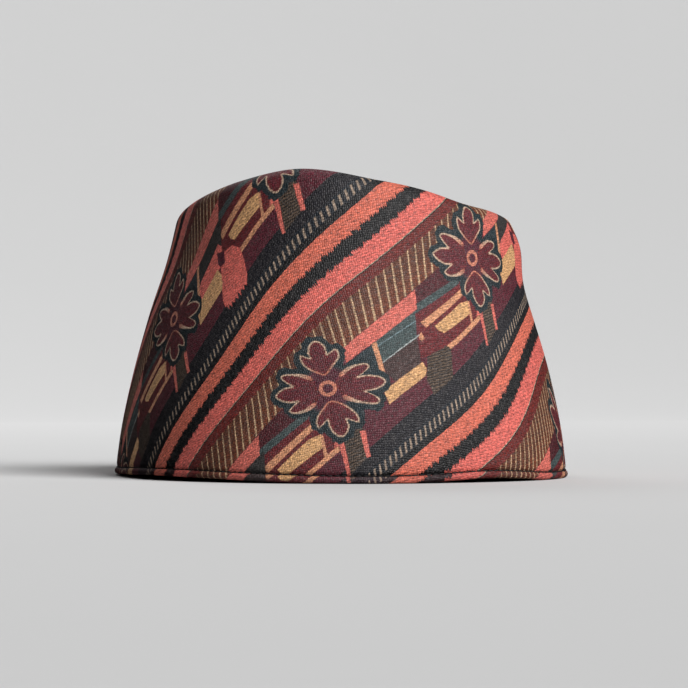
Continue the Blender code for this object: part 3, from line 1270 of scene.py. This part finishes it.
@dataclass(frozen=True)
class ClothFinish:
    """The woven cloth, matt. A share of its colours can go to another dye: the cloth's reverse, or painted
    shade.
    """

    name: str
    other_side_or_painted_shade: float = 0.0
    other_side_or_painted_shade_dye: Dye = Dye.RUST
    roughness: float = 0.56
    roughness_spread: float = 0.12
    roughness_scale: float = 1.7
    roughness_detail: float = 2.0
    gloss: float = 0.42
    relief: float = 0.14  # height of a thread in mm
    mottle: float = 0.5
    mottle_scale: float = 0.35
    mottle_detail: float = 3.0
    hollow_shade: float = 0.78
    thread_light: float = 0.4
    streaks: float = 0.4
    streak_scale: float = 1.3
    streak_stretch: float = 0.2
    flecks: float = 0.13

    def build(self, weave: bpy.types.NodeTree, pattern: bpy.types.NodeTree) -> bpy.types.Material:
        """Makes the material from the weave's and the pattern's groups.

        The pattern's colour is darkened by slow mottling, by each thread's own shade, by painted shade in the
        hollows between the threads and by streaks along the bands, and pale flecks of yarn are laid over it.
        """
        material, g, shader = new_material(self.name)
        place = g.vector("MULTIPLY", g.add("ShaderNodeUVMap", uv_map=PLACE_MAP).outputs[0], (1 / MM,) * 3)
        woven = g.group(weave, Place=place)
        colour = g.group(pattern, Place=woven["Ragged place"], Row=woven["Row"])["Colour"]
        # Mixes in another dye: on the reverse it is the cloth's other side, on the turned edge it is painted
        # shade.
        if self.other_side_or_painted_shade:
            colour = g.mixed(self.other_side_or_painted_shade, colour, self.other_side_or_painted_shade_dye)
        mottle = g.noise(place, self.mottle_scale, self.mottle_detail) * self.mottle + (1 - self.mottle / 2)
        # Painted shade: darker in the hollows between the threads, lighter on their tops.
        deep = Signal(g, woven["Height"]) * self.thread_light + self.hollow_shade
        along, across = g.dot(place, REPEAT.along()), g.dot(place, REPEAT.across())
        streaks = g.noise(g.joined(along * self.streak_stretch, across), self.streak_scale)
        streak = streaks * self.streaks + (1 - self.streaks / 2)
        colour = g.darkened(colour, mottle * woven["Shade"] * deep * streak)
        colour = g.mixed(Signal(g, woven["Fleck"]) * self.flecks, colour, Dye.FLECK)
        g.feed(shader["Base Color"], colour)
        uneven = g.noise(place, self.roughness_scale, self.roughness_detail) * self.roughness_spread
        g.feed(shader["Roughness"], uneven + (self.roughness - self.roughness_spread / 2))
        g.feed(shader["Normal"], g.bump(woven["Height"], self.relief))
        shader["Specular IOR Level"].default_value = self.gloss
        return material


@dataclass(frozen=True)
class ThreadFinish:
    """Sewing thread: two twisted plies, slightly glossy."""

    name: str
    dye: Dye
    ply_pitch: float = 0.45  # in mm
    hollow_shade: float = 0.55
    roughness: float = 0.7
    ply_gloss: float = 0.15
    relief: float = 0.05  # in mm

    def build(self) -> bpy.types.Material:
        """Makes the material; the twist is a slanting wave on the thread's own map, with painted shade in its
        grooves.
        """
        material, g, shader = new_material(self.name)
        x, y = g.parts(g.add("ShaderNodeUVMap", uv_map=PLACE_MAP).outputs[0])
        ply = ((x + y) * (2 * math.pi / (self.ply_pitch * MM))).then("SINE") * 0.5 + 0.5
        # Painted shade: the grooves between the plies take this darker colour.
        hollow = (*(self.hollow_shade * part for part in self.dye.linear()[:3]), 1.0)
        g.feed(shader["Base Color"], g.mixed(ply, hollow, self.dye))
        g.feed(shader["Roughness"], ply * -self.ply_gloss + self.roughness)
        g.feed(shader["Normal"], g.bump(ply, self.relief))
        return material


# Pieces of cloth and runs of stitches

PUCKERS = 216  # at the stitches, once round the rim


class Ripple(NamedTuple):
    """A slow ripple of the wall, two sines multiplied: their waves round it and radians for each mm up."""

    size: float
    turns: float
    rise: float
    start: float
    other_turns: float
    other_rise: float
    other_start: float


RIPPLES = (
    Ripple(0.22, 3.0, 0.05, 0.0, 2.0, 0.045, 0.0),
    Ripple(0.12, 11.0, -0.09, 1.0, 0.0, 0.07, math.pi / 2),
)


@dataclass(frozen=True)
class Wall:
    """The side band of patterned cloth, with the shoulder on which it rolls over into the crown."""

    flat: tuple = (0.526, 0.174)
    flat_area: float = 0.0522
    held: str = "stretched"
    around: int = 576
    wall_rows: int = 72
    shoulder_rows: int = 14
    seam_rows: int = 4
    inner_rows: int = 22
    calm_foot: float = 8.0  # the ripples are full from this far above the stitch line
    foot_depth: float = 0.45
    foot_reach: float = 0.7
    pucker_size: float = 0.09
    pucker_reach: float = 3.0

    def runs(self) -> Array:
        """How far up each row of the outer face lies, as CapForm.wall_point counts it."""
        wall = np.linspace(0.0, 1.0, self.wall_rows)
        roll = np.linspace(1.0, 2.0, self.shoulder_rows + 1)[1:]
        seam = np.linspace(2.0, 3.0, self.seam_rows + 1)[1:]
        return np.concatenate([wall, roll, seam])

    def relief(self, bearing: Array, height: Array, run: Array) -> Array:
        """Unevenness of the outer face in mm: slow ripples, a rounded foot and puckers at the stitches."""
        turn = np.radians(bearing)
        ripple = np.zeros_like(height)
        for row in RIPPLES:
            first = np.sin(row.turns * turn + row.rise * height + row.start)
            other = np.sin(row.other_turns * turn + row.other_rise * height + row.other_start)
            ripple += row.size * first * other
        above = height - FORM.hem_height - FORM.seam_gap
        foot = self.foot_depth * np.exp(-above / self.foot_reach)
        pucker = self.pucker_size * np.sin(turn * PUCKERS) * np.exp(-above / self.pucker_reach)
        calm = np.clip(above / self.calm_foot, 0.0, 1.0)
        return (ripple * calm - foot + pucker) * np.clip(3.0 - run, 0.0, 1.0)

    def build(self) -> bpy.types.Object:
        """Builds the closed shell: the outer face up to the seam, and the reverse down again."""
        bearing, runs = bearings(self.around), self.runs()
        b, r = np.meshgrid(bearing, runs, indexing="ij")
        face = FORM.wall_point(b, r)
        step = np.linalg.norm(np.diff(face, axis=1), axis=2)
        way = np.concatenate([np.zeros((len(bearing), 1)), np.cumsum(step, axis=1)], axis=1)
        places = LAY.wall_places(bearing, FORM.wall_foot(bearing)[:, None] + way)
        height = face[..., 2] - FORM.rim_height(b)
        face, relief = face[:-1], self.relief(b, height, r)[:-1]
        normals = grid_normals(face)
        back_rows = np.linspace(len(runs) - 1, 0, self.inner_rows).round().astype(int)
        reverse = face[:, back_rows] - normals[:, back_rows] * FORM.wall_thickness
        points = np.concatenate([face + normals * relief[..., None], reverse], axis=1)
        places = np.concatenate([places, places[:, back_rows]], axis=1)
        faces = grid_faces(*points.shape[:2])
        slots = np.zeros(faces.shape[:2], int)
        slots[:, len(runs) - 1 :] = 1
        places = corner_places(places)
        return new_piece("wall_cloth", points, faces.reshape(-1, 4).tolist(), places, slots)


@dataclass(frozen=True)
class Crown:
    """The sunken top piece, sewn in just inside the shoulder."""

    flat: tuple = (0.104, 0.133)
    flat_area: float = 0.0113
    held: str = "stretched"
    around: int = 288
    rows: int = 40
    crowding: float = 0.9  # below 1 the rows lie closer towards the middle
    edge_depth: float = 0.5
    edge_reach: float = 0.8
    turn: float = 24.0
    shift_x: float = 30.0
    shift_y: float = 12.0

    def places(self, points: Array) -> Array:
        """Places on the cloth from which the crown is cut: the plan, turned and shifted."""
        turn = math.radians(self.turn)
        x = points[:, 0] * math.cos(turn) - points[:, 1] * math.sin(turn) + self.shift_x
        y = points[:, 0] * math.sin(turn) + points[:, 1] * math.cos(turn) + self.shift_y
        return np.stack([x, y], axis=-1)

    def build(self) -> bpy.types.Object:
        """Builds a closed lens: the upper face in to its middle, and the reverse out again from its own."""
        share = np.linspace(0.0, 1.0, self.rows + 1)[:-1] ** self.crowding
        b, s = np.meshgrid(bearings(self.around), share, indexing="ij")
        edge = FORM.shoulder_point(b, np.ones_like(b))
        seam = FORM.seam_share + FORM.seam_gap / np.hypot(edge[..., 0], edge[..., 1])
        face = FORM.crown_point(b, seam + (1 - seam) * s)[:-1]
        normals = grid_normals(face)
        from_seam = np.linalg.norm((face - face[:, :1])[..., :2], axis=-1)
        rounded = face - normals * (self.edge_depth * np.exp(-from_seam / self.edge_reach))[..., None]
        reverse = (face - normals * FORM.crown_thickness)[:, ::-1]
        rings = np.concatenate([rounded, reverse], axis=1)
        middle = FORM.crown_point(np.zeros(1), np.ones(1))
        points = np.concatenate([rings.reshape(-1, 3), middle, middle - [0.0, 0.0, FORM.crown_thickness]])
        cells = grid_faces(*rings.shape[:2])
        quads = np.delete(cells, self.rows - 1, axis=1).reshape(-1, 4)
        near, far, far_under, near_under = cells[:, self.rows - 1].T
        hub = np.full(self.around, len(points) - 2)
        fan = np.stack([near, far, hub], axis=1)
        under = np.stack([near_under, hub + 1, far_under], axis=1)
        corners = np.concatenate([quads.ravel(), fan.ravel(), under.ravel()])
        slots = np.zeros((self.around, 2 * self.rows - 1), int)
        slots[:, self.rows - 1 :] = 1
        slots = np.concatenate([slots.ravel(), np.zeros(self.around, int), np.ones(self.around, int)])
        faces = [*quads.tolist(), *fan.tolist(), *under.tolist()]
        return new_piece("crown_cloth", points, faces, self.places(points)[corners], slots)


class HemCorner(NamedTuple):
    """A point of the hem's section: out from the wall's outer face, up from the rim."""

    out: float
    up: float


HEM_SECTION = (
    HemCorner(-3.2, 2.4),
    HemCorner(-3.2, 0.9),
    HemCorner(-2.7, 0.2),
    HemCorner(-1.6, 0.0),
    HemCorner(-0.6, 0.05),
    HemCorner(0.1, 0.45),
    HemCorner(0.42, 1.2),
    HemCorner(0.36, 1.9),
    HemCorner(0.0, 2.4),
    HemCorner(-0.7, 2.5),
    HemCorner(-2.1, 2.5),
    HemCorner(-2.1, 5.6),
    HemCorner(-2.1, 8.6),
    HemCorner(-2.35, 8.95),
    HemCorner(-2.9, 8.95),
    HemCorner(-3.2, 8.5),
    HemCorner(-3.2, 5.5),
)


@dataclass(frozen=True)
class Hem:
    """The turned edge below the stitch line, with its flap inside the wall."""

    flat: tuple = (0.577, 0.0148)
    flat_area: float = 0.0085
    held: str = "folded"
    around: int = 576
    finer: int = 3
    face_starts: int = 2  # corners of the section between which the cloth's face shows
    face_ends: int = 10
    stitch_corner: int = 8
    pucker_size: float = 0.07
    cloth_shift: float = 2.5  # how far the turned edge shows cloth from above the fold

    def build(self) -> bpy.types.Object:
        """Carries the section round the rim, each stretch between its corners divided evenly."""
        corners = np.array(HEM_SECTION)
        share = np.arange(self.finer)[:, None] / self.finer
        section = corners[:, None] + (np.roll(corners, -1, axis=0) - corners)[:, None] * share
        section = section.reshape(-1, 2)
        bearing = bearings(self.around)
        b, k = np.meshgrid(bearing, np.arange(len(section)), indexing="ij")
        height = FORM.rim_height(b) + section[k, 1]
        pucker = self.pucker_size * np.sin(np.radians(b) * PUCKERS) * (section[k, 0] > 0)
        out = section[k, 0] + pucker
        points = FORM.plan_point(b, height) - FORM.inward(b, height) * out[..., None]
        step = np.linalg.norm(np.diff(section, axis=0), axis=1)
        way = np.concatenate([[0.0], np.cumsum(step)])
        from_stitch = way - way[self.stitch_corner * self.finer]
        line = FORM.rim_height(bearing)[:, None] + FORM.hem_height
        places = LAY.wall_places(bearing, line + from_stitch) + [0.0, self.cloth_shift]
        faces = grid_faces(self.around, len(section))
        slots = np.ones(faces.shape[:2], int)
        slots[:, self.face_starts * self.finer : self.face_ends * self.finer] = 0
        places = corner_places(places)
        return new_piece("hem_cloth", points[:-1], faces.reshape(-1, 4).tolist(), places, slots)


@dataclass(frozen=True)
class Stitches:
    """A run of stitches along a path: each a small tapered rod that dips into the cloth at both ends.

    The sizes across a stitch are shares of its radius.
    """

    name: str
    pitch: float
    radius: float
    share: float = 0.9  # of the pitch that a stitch fills
    ring: int = 7
    rows: int = 7
    rise: float = 1.1
    sunk: float = 0.6
    taper: float = 0.75
    map_girth: float = 0.1  # mm of the map for each radian round a stitch

    def build(self, path: Array, outward: Array) -> bpy.types.Object:
        """Builds all the stitches as one mesh.

        A stitch's middle line follows the path and rises outwards as a half sine, and its radius is the
        fourth-power oval of the way along it.

        Args:
            path: points along the seam in mm, close together.
            outward: unit vectors away from the cloth at those points.

        Returns:
            The mesh object.
        """
        way = np.concatenate([[0.0], np.cumsum(np.linalg.norm(np.diff(path, axis=0), axis=1))])
        count = int(round(way[-1] / self.pitch))
        t = np.linspace(0.0, 1.0, self.rows)
        at = (np.arange(count)[:, None] + 0.5 + (t - 0.5) * self.share) * way[-1] / count
        line = np.stack([np.interp(at, way, path[:, axis]) for axis in range(3)], axis=-1)
        up = unit(np.stack([np.interp(at, way, outward[:, axis]) for axis in range(3)], axis=-1))
        proud = (np.sin(t * math.pi) * self.rise - self.sunk) * self.radius
        line = line + up * proud[:, None]
        ahead = unit(np.gradient(line, axis=1))
        side = unit(np.cross(up, ahead))
        up = np.cross(ahead, side)
        size = self.radius * (1 - np.abs(2 * t - 1) ** 4 * self.taper)
        turn = np.linspace(0.0, 2 * math.pi, self.ring, endpoint=False)
        around = side[:, :, None] * np.cos(turn)[:, None] + up[:, :, None] * np.sin(turn)[:, None]
        points = line[:, :, None] + around * size[:, None, None]
        number = np.arange(points[..., 0].size).reshape(points.shape[:3])
        after = np.roll(number, -1, axis=2)
        quads = np.stack([number[:, :-1], after[:, :-1], after[:, 1:], number[:, 1:]], axis=-1).reshape(-1, 4)
        ends = np.concatenate([number[:, 0, ::-1], number[:, -1]])
        faces = [*quads.tolist(), *ends.tolist()]
        places = np.stack(np.broadcast_arrays(at[:, :, None], turn * self.map_girth), axis=-1).reshape(-1, 2)
        corners = np.concatenate([quads.ravel(), ends.ravel()])
        return new_piece(self.name, points, faces, places[corners], np.zeros(len(faces), int))


# The stage, in metres


@dataclass(frozen=True)
class Stage:
    """A pale floor that curves up into a backdrop, soft lights and the camera."""

    reach: float = 3.0
    back: float = 1.3
    sweep: float = 0.9
    columns: int = 13
    flat_rows: int = 11
    sweep_rows: int = 33
    pale: tuple = (0.54, 0.56)
    pale_scale: float = 3.0
    pale_detail: float = 2.0
    floor_roughness: float = 0.9
    key_bearing: float = 31.0  # degrees from the front towards +X
    key_height: float = 38.0  # degrees above level
    key_softness: float = 38.0  # apparent width in degrees
    key_power: float = 4.75
    back_light_place: tuple = (-0.2, 1.4, 1.4)
    back_light_aim: tuple = (0.0, 0.0, 0.05)
    back_light_size: float = 1.0
    back_light_power: float = 6.0
    sky: float = 0.05
    camera_place: tuple = (-0.2475, -1.1738, 0.0372)
    camera_azimuth: float = 12.0
    camera_pitch: float = 0.55
    sensor_width: float = 36.0  # in mm
    lens: float = 168.9  # in mm
    view_depth: float = 50.0

    def key_direction(self) -> Vector:
        """The direction in which the key light lies."""
        turn, rise = math.radians(self.key_bearing), math.radians(self.key_height)
        return Vector((math.sin(turn) * math.cos(rise), -math.cos(turn) * math.cos(rise), math.sin(rise)))

    def floor_material(self) -> bpy.types.Material:
        """A pale matt ground, times the tone attribute: painted shade that evens out the key light."""
        material, g, shader = new_material("Pale floor")
        where = g.add("ShaderNodeTexCoord").outputs["Object"]
        dark, light = ((tone, tone, tone, 1.0) for tone in self.pale)
        pale = g.mixed(g.noise(where, self.pale_scale, self.pale_detail), dark, light)
        tone = g.add("ShaderNodeAttribute", attribute_name="tone").outputs["Fac"]
        g.feed(shader["Base Color"], g.darkened(pale, tone))
        shader["Roughness"].default_value = self.floor_roughness
        return material

    def floor(self) -> None:
        """Builds the floor: flat, then a quarter circle, then upright.

        Its tone is painted shade that evens out the key light: the light's share on the flat floor over its
        share at each point, so the curve and the backdrop are painted darker where the light falls more
        squarely.
        """
        turn = np.linspace(0.0, math.pi / 2, self.sweep_rows)
        flat = np.linspace(-self.reach, self.back, self.flat_rows, endpoint=False)
        y = np.concatenate([flat, self.back + self.sweep * np.sin(turn), [self.back + self.sweep]])
        z = np.concatenate([0 * flat, self.sweep * (1 - np.cos(turn)), [self.reach]])
        x = np.linspace(-self.reach, self.reach, self.columns)
        across, k = np.meshgrid(x, np.arange(len(y)), indexing="ij")
        points = np.stack([across, y[k], z[k]], axis=-1)
        faces = grid_faces(len(x), len(y), closed=False)
        mesh = bpy.data.meshes.new("floor")
        mesh.from_pydata(points.reshape(-1, 3).tolist(), [], faces.reshape(-1, 4).tolist())
        mesh.shade_smooth()
        lean = np.concatenate([0 * flat, np.sin(turn), [1.0]])
        key = self.key_direction()
        lit = key.z * np.sqrt(1 - lean**2) - key.y * lean
        tone = mesh.attributes.new("tone", "FLOAT", "POINT")
        # Painted shade: the floor's colour is dimmed where the key light falls on it more squarely.
        tone.data.foreach_set("value", np.tile(key.z / lit, len(x)).astype(np.float32))
        mesh.materials.append(self.floor_material())
        floor = linked("floor", mesh)
        floor.visible_glossy = False

    def lights(self) -> None:
        """A soft distant key light, and a round area light behind that points at the cap."""
        key = bpy.data.lights.new("key light", "SUN")
        key.angle = math.radians(self.key_softness)
        key.energy = self.key_power
        linked("key light", key).rotation_euler = self.key_direction().to_track_quat("Z", "Y").to_euler()
        back = bpy.data.lights.new("back light", "AREA")
        back.shape = "DISK"
        back.size = self.back_light_size
        back.energy = self.back_light_power
        lamp = linked("back light", back)
        lamp.location = self.back_light_place
        aim = Vector(self.back_light_aim) - Vector(self.back_light_place)
        lamp.rotation_euler = aim.to_track_quat("-Z", "Y").to_euler()

    def world(self) -> None:
        """Faint even light from all round."""
        world = bpy.data.worlds.new("Studio")
        world.use_nodes = True
        background = world.node_tree.nodes["Background"]
        background.inputs["Color"].default_value = (1.0, 1.0, 1.0, 1.0)
        background.inputs["Strength"].default_value = self.sky
        world.cycles_visibility.glossy = False
        bpy.context.scene.world = world

    def camera(self) -> None:
        """The photograph's view: to the left of the front, a little above the rim, looking nearly level."""
        data = bpy.data.cameras.new("camera")
        data.sensor_width = self.sensor_width
        data.lens = self.lens
        data.clip_end = self.view_depth
        camera = linked("camera", data)
        camera.location = self.camera_place
        azimuth, pitch = math.radians(self.camera_azimuth), math.radians(self.camera_pitch)
        ahead = Vector((math.sin(azimuth), math.cos(azimuth), math.tan(pitch)))
        camera.rotation_euler = ahead.to_track_quat("-Z", "Y").to_euler()
        bpy.context.scene.camera = camera

    def build(self) -> None:
        """Sets up the camera, the floor and the lights, with plain display colours."""
        self.camera()
        self.floor()
        self.world()
        self.lights()
        bpy.context.scene.view_settings.view_transform = "Standard"


def sew(finish: bpy.types.Material) -> dict[str, bpy.types.Object]:
    """Builds the runs of stitches, by name; the table names the cloth that each holds, but nothing reads it.
    """
    threads = {}
    for run, (path, outward), slot in (
        (Stitches("edge_stitch", pitch=2.5, radius=0.2), FORM.foot_seam(), "wall_cloth"),
        (Stitches("crown_seam", pitch=3.0, radius=0.22), FORM.crown_seam(), "crown_cloth"),
        (Stitches("back_seam", pitch=3.0, radius=0.2), FORM.back_seam(), "wall_cloth"),
    ):
        obj = run.build(path, outward)
        obj.data.materials.append(finish)
        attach(obj, "root")
        threads[run.name] = obj
    return threads


def dress(
    piece: Union[Wall, Crown, Hem],
    node: str,
    finishes: Sequence[bpy.types.Material],
) -> bpy.types.Object:
    """Builds a piece of cloth in the place of a solid.

    Args:
        piece: the piece to build.
        node: the solid that it replaces.
        finishes: the materials of its face and of its reverse.

    Returns:
        The piece's object.
    """
    obj = piece.build()
    for finish in finishes:
        obj.data.materials.append(finish)
    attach(obj, "root")
    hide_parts(node)
    return obj


def main() -> None:
    """Builds the stage, the threads and the cloth pieces, and reports each."""
    logging.basicConfig(level=logging.INFO, format="%(name)s: %(message)s")
    Stage().build()
    weave = Weave().build()
    pattern = DhakaPattern().build()
    face = ClothFinish("Dhaka cloth").build(weave, pattern)
    # The turned edge is painted a quarter of the way towards a dark dye: painted shade below the stitch line.
    turned = ClothFinish("Turned edge of the cloth with painted shade", other_side_or_painted_shade=0.25, other_side_or_painted_shade_dye=Dye.SHADE).build(weave, pattern)
    reverse = ClothFinish("Reverse of the cloth", other_side_or_painted_shade=0.72, roughness=0.92).build(weave, pattern)
    dark_thread = ThreadFinish("Dark sewing thread", Dye.BLACK).build()
    threads = sew(dark_thread)
    wall = dress(Wall(), "wall", (face, reverse))
    crown = dress(Crown(), "crown", (face, reverse))
    hem = dress(Hem(), "hem", (turned, reverse))
    for obj in (*threads.values(), wall, crown, hem):
        obj.data.calc_loop_triangles()
        triangles = len(obj.data.loop_triangles)
        log.info("%s: %d triangles, outer area %.4f m2", obj.name, triangles, cloth_area(obj, 0))


if __name__ == "__main__":
    main()
